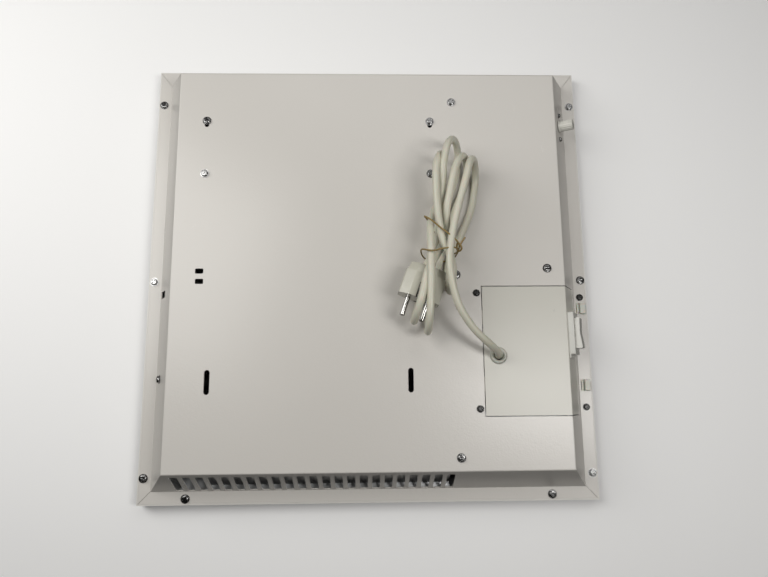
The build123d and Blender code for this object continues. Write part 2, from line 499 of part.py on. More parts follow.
knob = Pos(0, 0, KNOB_GAP + SKIRT_THICK / 2) * Cylinder(SKIRT_RADIUS, SKIRT_THICK)
knob = fillet(knob.edges().group_by(Axis.Z)[-1], 0.7)
knob_top = KNOB_GAP + KNOB_LENGTH
barrel = Pos(0, 0, (KNOB_GAP + 1 + knob_top) / 2) * Cylinder(KNOB_RADIUS, knob_top - KNOB_GAP - 1)
barrel = fillet(barrel.edges().group_by(Axis.Z)[-1], 1.3)
FLUTES = 16
for flute in range(FLUTES):
    groove = Pos(KNOB_RADIUS + 0.45, 0, knob_top - 3) * Cylinder(0.8, 16)
    barrel -= Rot(0, 0, flute * 360 / FLUTES) * groove
pointer = Pos(KNOB_RADIUS - 1.6, 0, knob_top + 0.1) * Box(3.0, 0.9, 0.6)
knob = knob + barrel + pointer
knob -= Pos(0, 0, 5.0) * Cylinder(SHAFT_RADIUS, 12.0)
save("dimmer_knob", dimmer_plane * Rot(0, 0, 70) * knob)
save("dimmer_screws", *[on_right_slope(KNOB_Y + offset, KNOB_HEIGHT - 1.5) * pan_screw(**SMALL_SCREW)
                        for offset in (-DIMMER_SCREW_OFFSET, DIMMER_SCREW_OFFSET)])

# ---- plug: faceted body, collar, pins and side earth contacts --------------------------------------
PLUG_X, PLUG_Y, PLUG_LIFT = 45.0, -34.5, 25.0      # middle of the front face, and its height over the plate
PLUG_TURN = -19.3                                  # the plug's axis against -Y, seen from above
PLUG_WIDTH, PLUG_HEIGHT, PLUG_BODY, PLUG_COLLAR = 39.5, 30.0, 23.5, 8.0
PIN_RADIUS, PIN_LENGTH, PIN_SPACING = 2.4, 19.0, 19.0
plug_place = Pos(PLUG_X, PLUG_Y, PLATE_Z + PLUG_LIFT) * Rot(0, 0, PLUG_TURN)


def plug_outline(width, height, y):
    """The plug's faceted section, wide between its flanks, on a plane across its axis."""
    flat, shoulder = width * 0.26, height * 0.30
    points = [
        (width / 2, -shoulder), (width / 2, shoulder), (flat, height / 2), (-flat, height / 2),
        (-width / 2, shoulder), (-width / 2, -shoulder), (-flat, -height / 2), (flat, -height / 2),
    ]
    face = fillet(make_face(Polyline(*points, close=True)).vertices(), 2.4)
    return Plane((0, y, 0), x_dir=(1, 0, 0), z_dir=(0, -1, 0)) * face


plug_body = loft([plug_outline(PLUG_WIDTH, PLUG_HEIGHT, 0), plug_outline(PLUG_WIDTH - 1, PLUG_HEIGHT - 2, PLUG_BODY)])
EARTH_WIDTH, EARTH_DEPTH = 7.0, 2.2
pins, contacts = [], []
for side in (-1, 1):
    x = side * PIN_SPACING / 2
    socket = Pos(x, 4, 0) * Rot(90, 0, 0) * Cylinder(PIN_RADIUS + 0.02, 16)
    plug_body -= socket
    pin = Pos(x, 3.9 - (PIN_LENGTH + 3.9 + 4) / 2 + 4, 0) * Rot(90, 0, 0) * Cylinder(PIN_RADIUS, PIN_LENGTH + 3.9 + 4)
    pin = fillet(pin.edges().group_by(Axis.Y)[0], 1.3)
    pins.append(plug_place * pin)
    slot_z = side * (PLUG_HEIGHT / 2 - EARTH_DEPTH / 2)
    plug_body -= Pos(0, 6, slot_z) * Box(EARTH_WIDTH, 16, EARTH_DEPTH)
    contact = Pos(0, 6.6, slot_z) * Box(EARTH_WIDTH - 0.6, 14.4, EARTH_DEPTH - 0.8)
    contacts.append(plug_place * contact)
save("plug_body", plug_place * plug_body)
save("plug_pins", *pins)
save("plug_earth_contacts", *contacts)
collar_start, collar_end = PLUG_BODY + 0.1, PLUG_BODY + PLUG_COLLAR
collar = loft([plug_outline(PLUG_WIDTH - 3, PLUG_HEIGHT - 4, collar_start),
               plug_outline(PLUG_WIDTH - 6, PLUG_HEIGHT - 7, collar_end)])
collar -= Pos(0, PLUG_BODY, 0) * Rot(90, 0, 0) * Cylinder(CORD_RADIUS + 0.1, 40)
save("plug_collar", plug_place * collar)
boot_length = 14.0
boot = Pos(0, collar_end + 0.1 + boot_length / 2, 0) * Rot(-90, 0, 0) * Cone(6.2, 4.6, boot_length)
boot -= Pos(0, collar_end, 0) * Rot(90, 0, 0) * Cylinder(CORD_RADIUS + 0.1, 60)
save("plug_boot", plug_place * boot)

# ---- mains cord: the free stretch as a tube, and the tied hank as its outer shape -------------------
ROUTE = [
    (124, -85.5, -9), (124, -85.5, 6), (118, -81, 17), (106, -72, 27), (93, -59, 35),
    (82, -44, 41), (75, -26, 45), (72, -6, 47),
]
points = [Vector(x, y, PLATE_Z + z) for x, y, z in ROUTE]
runs = [b - a for a, b in zip(points, points[1:])]
radii = []
for before, after in zip(runs, runs[1:]):
    turn = before.get_angle(after)
    radii.append(0.45 * min(before.length, after.length) / math.tan(math.radians(turn / 2)))
path = FilletPolyline(*points, radius=radii)
section = Plane(origin=points[0], z_dir=runs[0]) * Circle(CORD_RADIUS)
cord = sweep(section, path=path)
print("cord arc radii", [round(r, 1) for r in radii], "length", round(path.length, 1))
print("tube volume over section x length", round(cord.volume / (math.pi * CORD_RADIUS ** 2 * path.length), 4))
save("mains_cord", cord)

# side shape of the tied bundle: two rounded lobes and a waist where the band holds it
side_outline = FilletPolyline(
    (-68, 1.4), (112, 1.4), (124, 26), (108, 50.5), (72, 50.5), (24, 40), (-2, 52), (-46, 52), (-68, 30),
    radius=[10, 12, 12, 16, 20, 20, 14, 10, 8], close=True)
lobe_low = FilletPolyline((-58, 9.2), (2, 9.2), (2, 43.2), (-58, 43.2), radius=[14, 6, 6, 14], close=True)
lobe_high = FilletPolyline((52, 10), (112, 10), (112, 41.5), (52, 36), radius=[5, 14, 14, 5], close=True)
side_plane = Plane((0, 0, PLATE_Z), x_dir=(0, 1, 0), z_dir=(1, 0, 0))
profile = make_face(side_outline) - make_face(lobe_low) - make_face(lobe_high)
bundle = extrude(side_plane * profile, 130)
plan = FilletPolyline(
    (35, -50), (42, -72), (60, -72), (61, -24), (78, -12), (92, 30), (107, 84), (103, 108), (84, 126), (66, 112),
    (57, 80), (50, 34), (46, 2), radius=8, close=True)
bundle = bundle & extrude(make_face(plan), 200)
for x, y in PLATE_SCREWS:
    bundle -= disc(x, y, PLATE_Z, PLATE_Z + 4.5, 5.4)       # room for the screw heads under it
save("cord_hank", bundle)

# the rubber band: two turns round the waist of the bundle
BAND_RADIUS = 0.9


def band_turn(x_left, y_left, x_right, y_right, top):
    """One turn of the band, from its left crossing to its right crossing over the bundle."""
    low = PLATE_Z + 0.2 + BAND_RADIUS
    high = PLATE_Z + top
    corners = [(x_left, y_left, low), (x_right, y_right, low), (x_right, y_right, high), (x_left, y_left, high)]
    loop = FilletPolyline(*[Vector(*c) for c in corners], radius=6, close=True)
    start = loop @ 0.3
    return sweep(Plane(origin=start, z_dir=loop % 0.3) * Circle(BAND_RADIUS), path=loop)


upper_turn = band_turn(46, 41, 89, 14, 46.0)
lower_turn = band_turn(44, 9, 86, 9, 49.0)
save("cord_band", upper_turn, lower_turn)
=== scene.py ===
# %% [markdown]
# # A wall-type LED panel light, seen from the back
#
# The light lies face down. What shows is its folded steel rear housing, the access cover with the lead
# coming out of it, the switch and the dimmer on the right slope, and the lead tied in a bundle.
# The metal and plastic pieces come from the CAD frame, in metres, and are finished here. Whatever is soft,
# the lead and its rubber band, is modelled here along the line that the real one takes.

# %% Load the frame
import bpy
import json
import math
from mathutils import Matrix, Vector


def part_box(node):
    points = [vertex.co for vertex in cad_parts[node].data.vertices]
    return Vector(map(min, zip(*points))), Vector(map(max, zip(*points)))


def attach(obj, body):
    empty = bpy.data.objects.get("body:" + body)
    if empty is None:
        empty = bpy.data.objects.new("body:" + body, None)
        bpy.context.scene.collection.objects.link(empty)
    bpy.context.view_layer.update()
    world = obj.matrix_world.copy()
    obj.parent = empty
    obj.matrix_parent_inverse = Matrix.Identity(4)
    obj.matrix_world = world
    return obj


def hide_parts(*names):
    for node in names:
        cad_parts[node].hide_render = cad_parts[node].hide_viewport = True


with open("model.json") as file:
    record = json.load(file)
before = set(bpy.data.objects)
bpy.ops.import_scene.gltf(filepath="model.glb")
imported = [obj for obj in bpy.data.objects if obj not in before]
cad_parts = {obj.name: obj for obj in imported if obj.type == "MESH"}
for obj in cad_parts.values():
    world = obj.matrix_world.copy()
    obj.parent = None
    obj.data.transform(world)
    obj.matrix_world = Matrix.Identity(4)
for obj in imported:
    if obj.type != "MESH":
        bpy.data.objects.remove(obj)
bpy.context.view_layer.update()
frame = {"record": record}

# %% Working units
MM = 0.001                       # the frame is in metres; fine detail is easier to say in millimetres
PLATE_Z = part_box("rear_housing")[1][2]          # top face of the rear plate


def point(x, y, height):
    """A place given in millimetres, with its height above the rear plate."""
    return (x * MM, y * MM, PLATE_Z + height * MM)


print("rear plate at", round(PLATE_Z / MM, 2), "mm")

# %% [markdown]
# ## Camera, floor and light
#
# The camera looks down on the back of the panel from a little below its middle. The light comes from
# area lamps, set up further down: the larger a lamp is beside its distance, the softer its shadow.
# The lower slope stays darkest because no lamp stands on that side.

# %% Camera
LENS, SENSOR = 28.125, 36.0      # a wide view, in millimetres
CAMERA_AT = Vector((-0.0022, -0.1185, 0.6226))
CAMERA_RIGHT = Vector((0.9996, -0.0088, 0.0269))
CAMERA_UP = Vector((0.0042, 0.9856, 0.1692))

camera_data = bpy.data.cameras.new("camera")
camera_data.lens = LENS
camera_data.sensor_width = SENSOR
camera = bpy.data.objects.new("camera", camera_data)
bpy.context.collection.objects.link(camera)
back = CAMERA_RIGHT.cross(CAMERA_UP).normalized()
right = CAMERA_UP.cross(back).normalized()
axes = Matrix((right, back.cross(right), back)).transposed()
camera.matrix_world = Matrix.Translation(CAMERA_AT) @ axes.to_4x4()
bpy.context.scene.camera = camera
print("camera at", tuple(CAMERA_AT))

# %% [markdown]
# ## The mains lead
#
# The lead is one piece of round flexible cord, 7 mm thick. It leaves the grommet steeply, turns towards the
# bundle and then runs up and down in long loops, eight strands in all, before it ends in the plug. A fold
# has a radius of about three times the thickness, which is as tight as such a lead is bent when tied.
# A curve suits it better than a mesh: its thickness is one number, and a smooth spline through a few
# chosen points bends the way a stiff lead does. At each end of the bundle the strand turns over in an
# upright hairpin, which a small function spells out, because every hairpin has the same form.

# %% The hairpin turns
LOW = 4.0                        # height of a strand's middle where it lies on the plate
TURN_STEPS = 6                   # a half turn in equal steps
STEP_ANGLE = 180 / TURN_STEPS


def hairpin(x_low, x_high, y_ends, top, way, upwards, lean=0.0):
    """The points of an upright U between a low strand and a high one.

    way is 1 at the bundle's upper end and -1 at its lower end; upwards tells which strand comes first;
    lean moves the end of the turn to the right.
    """
    radius = (top - LOW) / 2
    reach = radius / math.cos(math.radians(STEP_ANGLE / 2))      # the spline passes inside its points
    middle = (top + LOW) / 2
    turn = []
    for step in range(TURN_STEPS + 1):
        angle = math.radians(-90 + STEP_ANGLE * step)
        ease = (1 - math.cos(math.pi * step / TURN_STEPS)) / 2
        x = x_low + (x_high - x_low) * ease + lean * math.cos(angle)
        y = y_ends + way * reach * math.cos(angle)
        turn.append((x, y, middle + reach * math.sin(angle)))
    return turn if upwards else turn[::-1]


# %% The lead's route
CORD_RADIUS = 3.5
FREE_RUN = [(124, -85.5, -9), (124, -85.5, 3), (121.9, -84.1, 12.2), (117.9, -81.5, 20.4),
            (112.3, -77.8, 27.1), (105.2, -72.8, 32), (93, -62, 37.5), (81, -45, 43.5),
            (74.5, -26, 48.5), (72, -6, 50.5)]

route = list(FREE_RUN)
# over the waist of the bundle, and down at its upper right corner
route += [(73.5, 12, 49), (78, 34, 46), (84, 56, 46.5)]
route += hairpin(106, 91, 80.5, 47, 1, upwards=False, lean=3.5)
route += [(102, 58, 4), (94, 40, 4), (85, 21, 4), (77.5, 6, 4)]
route += hairpin(76, 76, -6, 44.5, -1, upwards=True)
# the longest loop
route += [(73.5, 6, 42.5), (69, 15, 41.5), (66, 24, 42.5), (63.5, 40, 45.5), (62, 60, 47)]
route += hairpin(74, 62, 85.5, 47, 1, upwards=False, lean=3)
route += [(71, 68, 7), (63, 54, 22), (57.5, 40, 36), (56, 22, 44), (56, 2, 48.5), (55.5, -20, 49)]
route += hairpin(57, 54.5, -43, 47, -1, upwards=False, lean=-2)
route += [(62, -18, 4), (69, 8, 4), (76, 35, 4), (86, 60, 4)]
# the third loop, which comes down between the pins of the plug
route += hairpin(96, 79, 83.5, 47, 1, upwards=True, lean=6)
route += [(75, 64, 45.5), (71, 46, 43), (72.5, 33, 36), (69, 17, 31.5), (62, 5, 35), (53.5, -8, 44.5),
          (50, -22, 45)]
route += hairpin(48, 47.5, -33, 47, -1, upwards=False, lean=-7)
route += [(52, -14, 4), (60, 12, 4), (66, 35, 4), (75, 58, 4), (83, 78, 4)]
# the last loop, and down through the middle of the bundle to the plug
route += hairpin(89, 71, 100.5, 47, 1, upwards=True, lean=4)
route += [(68, 79, 44.5), (67.5, 62, 38), (68.5, 46, 32), (66, 31, 27), (63.3, 19, 25.3),
          (61.2, 11.8, 25), (57, 0, 25), (54.3, -8.1, 25)]
print("the lead's route has", len(route), "points")


def spline_piece(name, places, radius, closed=False, resolution=10):
    """A round-section curve with the places as its control points; its radius is in millimetres."""
    data = bpy.data.curves.new(name, "CURVE")
    data.dimensions = "3D"
    spline = data.splines.new("NURBS")
    spline.points.add(len(places) - 1)
    for control, place in zip(spline.points, places):
        control.co = (*place, 1.0)
        control.radius = MM          # multiplies the bevel depth, which can then be in millimetres
    spline.order_u = 3
    spline.use_cyclic_u = closed
    spline.use_endpoint_u = not closed
    spline.resolution_u = resolution
    data.bevel_depth = radius
    data.bevel_resolution = 5
    data.use_fill_caps = True
    piece = bpy.data.objects.new(name, data)
    bpy.context.collection.objects.link(piece)
    return piece


lead = spline_piece("mains_lead", [point(*place) for place in route], CORD_RADIUS)
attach(lead, "root")
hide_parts("mains_cord", "cord_hank")

# %% [markdown]
# ## The rubber band
#
# A thin rubber band, knotted into two turns, holds the strands at the waist. Each turn is a closed curve
# that rises over the top strands, dips between them and goes round underneath. On the right the two turns
# meet in a small knot, from which a short end sticks up.
# Curves again are the natural choice, with a few places for each turn, all at the height of the strands
# that they cross.

# %% The band's turns and knot
BAND_RADIUS = 0.75
KNOT_THICKER = 1.2
UPPER_TURN = [(50, 41, 45), (57, 35, 50.3), (64, 29, 49), (70, 24.5, 49.2), (76, 19, 50.5),
              (81, 14.5, 48.5), (83, 12.5, 42), (84, 12, 26), (84, 13, 8), (80, 16, 1.2), (72, 26, 1.2),
              (66, 33, 1.2), (63, 36, 8), (58, 39, 26), (53, 40.5, 38)]
LOWER_TURN = [(47, 9, 40), (48, 9, 47), (54, 6, 53), (59, 6, 53), (63.5, 8, 50.5), (68, 8.6, 51.5),
              (73, 9, 51.5), (78, 9.6, 50), (82, 9.5, 42), (83, 9, 26), (82, 8, 8), (77, 7, 1.2),
              (66, 7, 1.2), (60, 7.5, 1.2), (54, 8, 8), (50, 8.5, 22)]
KNOT = [(80.5, 15, 46), (83, 12.5, 47.5), (84.5, 9.5, 45.5), (83, 7.5, 42.5), (80.5, 9, 41.5), (80, 12, 44)]
LOOSE_END = [(82, 11.5, 45), (83.5, 14, 48), (85.5, 17, 49.5), (87, 19, 49)]

band = spline_piece("rubber_band_upper_turn", [point(*place) for place in UPPER_TURN],
                    BAND_RADIUS, closed=True)
band_parts = [
    band,
    spline_piece("rubber_band_lower_turn", [point(*place) for place in LOWER_TURN], BAND_RADIUS, closed=True),
    spline_piece("rubber_band_knot", [point(*place) for place in KNOT],
                 KNOT_THICKER * BAND_RADIUS, closed=True),
    spline_piece("rubber_band_end", [point(*place) for place in LOOSE_END], BAND_RADIUS),
]
for part in band_parts:
    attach(part, "root")
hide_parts("cord_band")
print("rubber band in", len(band_parts), "curves")

# %% [markdown]
# ## Shared surface effects
#
# Real finishes are never one flat colour. Powder coat dries with a fine orange peel, plastic keeps the
# grain of its mould, metal shows the marks of its working, and everything collects a little dust.
# Each effect is a node group, so that a material only has to say how large and how strong it is.
# The groups put out heights and masks; the shader itself stays in each material.


# %% A helper that makes a node group
def make_group(name, inputs, outputs):
    """An empty shader node group with the sockets named; returns the tree and its two end nodes."""
    tree = bpy.data.node_groups.new(name, "ShaderNodeTree")
    for label, kind, value in inputs:
        socket = tree.interface.new_socket(label, in_out="INPUT", socket_type=kind)
        socket.default_value = value
    for label, kind in outputs:
        tree.interface.new_socket(label, in_out="OUTPUT", socket_type=kind)
    return tree, tree.nodes.new("NodeGroupInput"), tree.nodes.new("NodeGroupOutput")


def add_noise(tree, vector, scale=1.0, detail=2.0, roughness=0.5):
    """A noise texture; scale may be a number or a socket."""
    noise = tree.nodes.new("ShaderNodeTexNoise")
    tree.links.new(vector, noise.inputs["Vector"])
    if hasattr(scale, "is_linked"):
        tree.links.new(scale, noise.inputs["Scale"])
    else:
        noise.inputs["Scale"].default_value = scale
    noise.inputs["Detail"].default_value = detail
    noise.inputs["Roughness"].default_value = roughness
    return noise.outputs["Fac"]


def add_range(tree, value, low, high, to_low=0.0, to_high=1.0):
    """Stretches low..high to to_low..to_high with soft ends, and clamps it."""
    ranges = tree.nodes.new("ShaderNodeMapRange")
    ranges.interpolation_type = "SMOOTHSTEP"
    tree.links.new(value, ranges.inputs["Value"])
    for label, number in (("From Min", low), ("From Max", high), ("To Min", to_low), ("To Max", to_high)):
        ranges.inputs[label].default_value = number
    return ranges.outputs["Result"]


def add_math(tree, operation, first, second):
    """A math node whose two inputs are sockets or numbers."""
    math_node = tree.nodes.new("ShaderNodeMath")
    math_node.operation = operation
    for slot, value in zip(math_node.inputs, (first, second)):
        if hasattr(value, "is_linked"):
            tree.links.new(value, slot)
        else:
            slot.default_value = value
    return math_node.outputs["Value"]


# %% [markdown]
# **Orange peel** is a smooth, rolling unevenness of sprayed and baked paint. Two noises, one half the
# size of the other, give hills that aren't all alike. Only the height leaves the group.

# %% Orange peel
orange_peel, given, result = make_group(
    "orange_peel", [("Vector", "NodeSocketVector", (0, 0, 0)), ("Scale", "NodeSocketFloat", 420.0)],
    [("Height", "NodeSocketFloat")])
rolling = add_noise(orange_peel, given.outputs["Vector"], given.outputs["Scale"], detail=1.0)
finer = add_math(orange_peel, "MULTIPLY", given.outputs["Scale"], 2.3)
pimples = add_noise(orange_peel, given.outputs["Vector"], finer, detail=0.0)
both = add_math(orange_peel, "ADD", rolling, add_math(orange_peel, "MULTIPLY", pimples, 0.35))
orange_peel.links.new(both, result.inputs["Height"])
print("group", orange_peel.name)

# %% [markdown]
# **Handling marks** are the faint specks and short scuffs of a used surface. A noise that is squeezed
# hard leaves only its peaks, and a second, larger noise decides where there are many and where few.

# %% Handling marks
handling_marks, given, result = make_group(
    "handling_marks",
    [("Vector", "NodeSocketVector", (0, 0, 0)), ("Scale", "NodeSocketFloat", 160.0),
     ("Threshold", "NodeSocketFloat", 0.70)],
    [("Mask", "NodeSocketFloat")])
stretch = handling_marks.nodes.new("ShaderNodeMapping")
stretch.inputs["Scale"].default_value = (1.0, 0.35, 1.0)
handling_marks.links.new(given.outputs["Vector"], stretch.inputs["Vector"])
specks = add_noise(handling_marks, stretch.outputs["Vector"], given.outputs["Scale"],
                   detail=4.0, roughness=0.65)
over = add_math(handling_marks, "SUBTRACT", specks, given.outputs["Threshold"])
sharp = add_range(handling_marks, over, 0.0, 0.04)
where = add_range(handling_marks, add_noise(handling_marks, given.outputs["Vector"], 9.0), 0.42, 0.65)
handling_marks.links.new(add_math(handling_marks, "MULTIPLY", sharp, where), result.inputs["Mask"])
print("group", handling_marks.name)

# %% [markdown]
# **Soft blotches** change a colour or a shine slowly from place to place, as a coat that is a little
# thicker here and there does.

# %% Soft blotches
soft_blotches, given, result = make_group(
    "soft_blotches", [("Vector", "NodeSocketVector", (0, 0, 0)), ("Scale", "NodeSocketFloat", 8.0)],
    [("Mask", "NodeSocketFloat")])
cloud = add_noise(soft_blotches, given.outputs["Vector"], given.outputs["Scale"], detail=2.0)
soft_blotches.links.new(add_range(soft_blotches, cloud, 0.22, 0.78), result.inputs["Mask"])
print("group", soft_blotches.name)

# %% [markdown]
# **Mould grain** is the even, very fine texture of a spark-eroded mould, which keeps plastic from
# looking like glass. **Drawn lines** are the long streaks along rolled or drawn metal.

# %% Mould grain and drawn lines
mould_grain, given, result = make_group(
    "mould_grain", [("Vector", "NodeSocketVector", (0, 0, 0)), ("Scale", "NodeSocketFloat", 1500.0)],
    [("Height", "NodeSocketFloat")])
cells = mould_grain.nodes.new("ShaderNodeTexVoronoi")
cells.feature = "SMOOTH_F1"
mould_grain.links.new(given.outputs["Vector"], cells.inputs["Vector"])
mould_grain.links.new(given.outputs["Scale"], cells.inputs["Scale"])
mould_grain.links.new(cells.outputs["Distance"], result.inputs["Height"])

drawn_lines, given, result = make_group(
    "drawn_lines",
    [("Vector", "NodeSocketVector", (0, 0, 0)), ("Across", "NodeSocketVector", (900.0, 12.0, 900.0))],
    [("Height", "NodeSocketFloat")])
spread = drawn_lines.nodes.new("ShaderNodeVectorMath")
spread.operation = "MULTIPLY"
drawn_lines.links.new(given.outputs["Vector"], spread.inputs[0])
drawn_lines.links.new(given.outputs["Across"], spread.inputs[1])
streaks = add_noise(drawn_lines, spread.outputs["Vector"], 1.0, detail=3.0, roughness=0.6)
drawn_lines.links.new(streaks, result.inputs["Height"])
print("groups", mould_grain.name, drawn_lines.name)

# %% [markdown]
# ## Materials
#
# A small recipe makes each material. It sets the constants on the shader's own sockets, then adds the
# parts that vary: a colour that drifts between two near tones and is darkened by the marks, a roughness
# that drifts too, and a bump from one of the height groups. What differs from finish to finish is
# only the numbers, so they stand together and can be compared.


# %% The recipe
def place_group(tree, group, vector, **numbers):
    """Places a node group, with its number inputs set."""
    holder = tree.nodes.new("ShaderNodeGroup")
    holder.node_tree = group
    tree.links.new(vector, holder.inputs["Vector"])
    for label, value in numbers.items():
        holder.inputs[label].default_value = value
    return holder.outputs[0]


def mix_colours(tree, factor, first, second):
    """Mixes two colours, each a socket or a fixed colour, by a factor socket."""
    mix = tree.nodes.new("ShaderNodeMix")
    mix.data_type = "RGBA"
    tree.links.new(factor, mix.inputs["Factor"])
    for slot, value in ((mix.inputs[6], first), (mix.inputs[7], second)):
        if hasattr(value, "is_linked"):
            tree.links.new(value, slot)
        else:
            slot.default_value = (*value, 1.0)
    return mix.outputs[2]


def make_finish(name, colour, second, roughness, marks=None, mark_colour=(0.3, 0.29, 0.27), mark_share=0.35,
                mark_scale=160.0, threshold=0.70, blotch=8.0, relief=None, depth=0.02, **shader):
    """A Principled material: two near colours, a range of roughness, marks and a relief.

    relief is (group, its numbers) and depth the bump's distance in millimetres. shader holds
    constants for sockets of the Principled node, with _ for a space.
    """
    material = bpy.data.materials.new(name)
    material.use_nodes = True
    tree = material.node_tree
    principled = tree.nodes["Principled BSDF"]
    for label, value in shader.items():
        principled.inputs[label.replace("_", " ")].default_value = value
    place = tree.nodes.new("ShaderNodeTexCoord").outputs["Object"]
    cloud = place_group(tree, soft_blotches, place, Scale=blotch)
    colour_out = mix_colours(tree, cloud, colour, second)
    rough_out = add_range(tree, cloud, 0.0, 1.0, roughness[0], roughness[1])
    if marks:
        mask = place_group(tree, handling_marks, place, Scale=mark_scale, Threshold=threshold)
        share = add_math(tree, "MULTIPLY", mask, mark_share)
        colour_out = mix_colours(tree, share, colour_out, mark_colour)
        rough_out = add_math(tree, "ADD", rough_out, add_math(tree, "MULTIPLY", mask, 0.15))
    tree.links.new(colour_out, principled.inputs["Base Color"])
    tree.links.new(rough_out, principled.inputs["Roughness"])
    if relief:
        group, numbers = relief
        bump = tree.nodes.new("ShaderNodeBump")
        bump.inputs["Strength"].default_value = 1.0
        bump.inputs["Distance"].default_value = depth * MM
        tree.links.new(place_group(tree, group, place, **numbers), bump.inputs["Height"])
        tree.links.new(bump.outputs["Normal"], principled.inputs["Normal"])
    return material


# %% [markdown]
# ### Paints
#
# The housing, the frame and the cover are steel with a semi-gloss powder coat. The housing is a warm
# white, the frame the same but a touch cleaner, and the cover comes from another batch, a little greener.
# The gloss comes from a moderate roughness; the orange peel breaks up the reflections.

# %% Powder coats
finishes = {}
finishes["housing_paint"] = make_finish(
    "housing_powder_coat", (0.655, 0.632, 0.595), (0.672, 0.648, 0.612), (0.272, 0.272), marks=True,
    mark_share=0.28, blotch=7.0, relief=(orange_peel, {"Scale": 520.0}), depth=0.055)
finishes["frame_paint"] = make_finish(
    "frame_powder_coat", (0.700, 0.684, 0.648), (0.715, 0.698, 0.664), (0.34, 0.42), marks=True,
    mark_share=0.35, mark_scale=220.0, threshold=0.68, relief=(orange_peel, {"Scale": 560.0}), depth=0.05)
finishes["cover_paint"] = make_finish(
    "cover_powder_coat", (0.605, 0.592, 0.535), (0.616, 0.603, 0.548), (0.294, 0.318), marks=True,
    mark_share=0.15, blotch=12.0, relief=(orange_peel, {"Scale": 480.0}), depth=0.03)
print("paints", [name for name in finishes])

# %% [markdown]
# ### Metals
#
# Zinc-plated screws are glossy and slightly uneven; the black screws are oxidised steel with a thin
# sheen. The plug's pins are nickel plated and turned, so fine rings run round them.

# %% Screws, pins and inner metal
finishes["screw_steel"] = make_finish(
    "bright_zinc_plate", (0.40, 0.40, 0.40), (0.24, 0.24, 0.24), (0.12, 0.22), blotch=400.0,
    relief=(mould_grain, {"Scale": 2400.0}), depth=0.01, Metallic=1.0)
finishes["screw_black"] = make_finish(
    "black_oxide", (0.020, 0.020, 0.021), (0.045, 0.044, 0.042), (0.20, 0.32), blotch=500.0,
    relief=(mould_grain, {"Scale": 2400.0}), depth=0.01, Metallic=0.6)
finishes["pin_metal"] = make_finish(
    "nickel_plate", (0.46, 0.45, 0.43), (0.30, 0.30, 0.29), (0.12, 0.22), blotch=300.0,
    relief=(drawn_lines, {"Across": (200.0, 1400.0, 200.0)}), depth=0.03, Metallic=1.0)
finishes["inner_steel"] = make_finish(
    "zinc_coated_sheet", (0.50, 0.51, 0.52), (0.40, 0.41, 0.42), (0.32, 0.50), blotch=120.0,
    relief=(drawn_lines, {"Across": (700.0, 20.0, 700.0)}), depth=0.01, Metallic=1.0)
finishes["bare_aluminium"] = make_finish(
    "mill_finish_aluminium", (0.66, 0.67, 0.68), (0.56, 0.57, 0.58), (0.30, 0.45), blotch=60.0,
    relief=(drawn_lines, {"Across": (900.0, 14.0, 900.0)}), depth=0.01, Metallic=1.0)
finishes["brass"] = make_finish(
    "plain_brass", (0.62, 0.44, 0.18), (0.50, 0.34, 0.13), (0.22, 0.38), blotch=200.0,
    relief=(drawn_lines, {"Across": (900.0, 900.0, 60.0)}), depth=0.008, Metallic=1.0)
print("metals ready, finishes so far", len(finishes))

# %% [markdown]
# ### Plastics and rubber
#
# The plug, the switch and the knob are moulded, with a soft gloss and a very fine grain. The lead's sheath
# is flexible PVC: duller, a little yellower, and let light soak in slightly. The clips and the grommet are
# nylon, which is milky. Subsurface scattering of a fraction of a millimetre gives them that depth.

# %% Moulded plastics, sheath, nylon and rubber
finishes["switch_plastic"] = make_finish(
    "switch_frame_plastic", (0.60, 0.60, 0.555), (0.63, 0.625, 0.585), (0.26, 0.36), marks=True,
    mark_share=0.2, blotch=60.0, relief=(mould_grain, {"Scale": 2600.0}), depth=0.006)
finishes["rocker_plastic"] = make_finish(
    "rocker_plastic", (0.64, 0.635, 0.59), (0.67, 0.665, 0.62), (0.20, 0.30), marks=True, mark_share=0.2,
    blotch=60.0, relief=(mould_grain, {"Scale": 2600.0}), depth=0.004)
finishes["knob_plastic"] = make_finish(
    "knob_plastic", (0.66, 0.655, 0.60), (0.70, 0.69, 0.64), (0.22, 0.32), blotch=80.0,
    relief=(mould_grain, {"Scale": 2200.0}), depth=0.006)
finishes["clip_plastic"] = make_finish(
    "clip_nylon", (0.60, 0.61, 0.54), (0.66, 0.66, 0.60), (0.30, 0.42), blotch=120.0,
    relief=(mould_grain, {"Scale": 1800.0}), depth=0.006,
    Subsurface_Weight=0.25, Subsurface_Scale=0.0012)
finishes["grommet_plastic"] = make_finish(
    "grommet_nylon", (0.47, 0.475, 0.415), (0.52, 0.52, 0.46), (0.34, 0.46), blotch=150.0,
    relief=(mould_grain, {"Scale": 1800.0}), depth=0.01,
    Subsurface_Weight=0.15, Subsurface_Scale=0.001)
finishes["cord_pvc"] = make_finish(
    "lead_sheath", (0.600, 0.585, 0.480), (0.640, 0.625, 0.525), (0.32, 0.44), marks=True, mark_share=0.3,
    mark_scale=240.0, mark_colour=(0.36, 0.34, 0.28), blotch=45.0,
    relief=(orange_peel, {"Scale": 900.0}), depth=0.03,
    Subsurface_Weight=0.12, Subsurface_Scale=0.0015)
finishes["plug_plastic"] = make_finish(
    "plug_moulding", (0.520, 0.510, 0.430), (0.550, 0.540, 0.460), (0.16, 0.24), marks=True, mark_share=0.25,
    mark_scale=200.0, blotch=50.0, relief=(mould_grain, {"Scale": 1600.0}), depth=0.008,
    Coat_Weight=0.25, Coat_Roughness=0.12)
finishes["band_rubber"] = make_finish(
    "rubber_of_the_band", (0.235, 0.170, 0.055), (0.300, 0.200, 0.075), (0.45, 0.62), blotch=220.0,
    relief=(mould_grain, {"Scale": 1400.0}), depth=0.03)
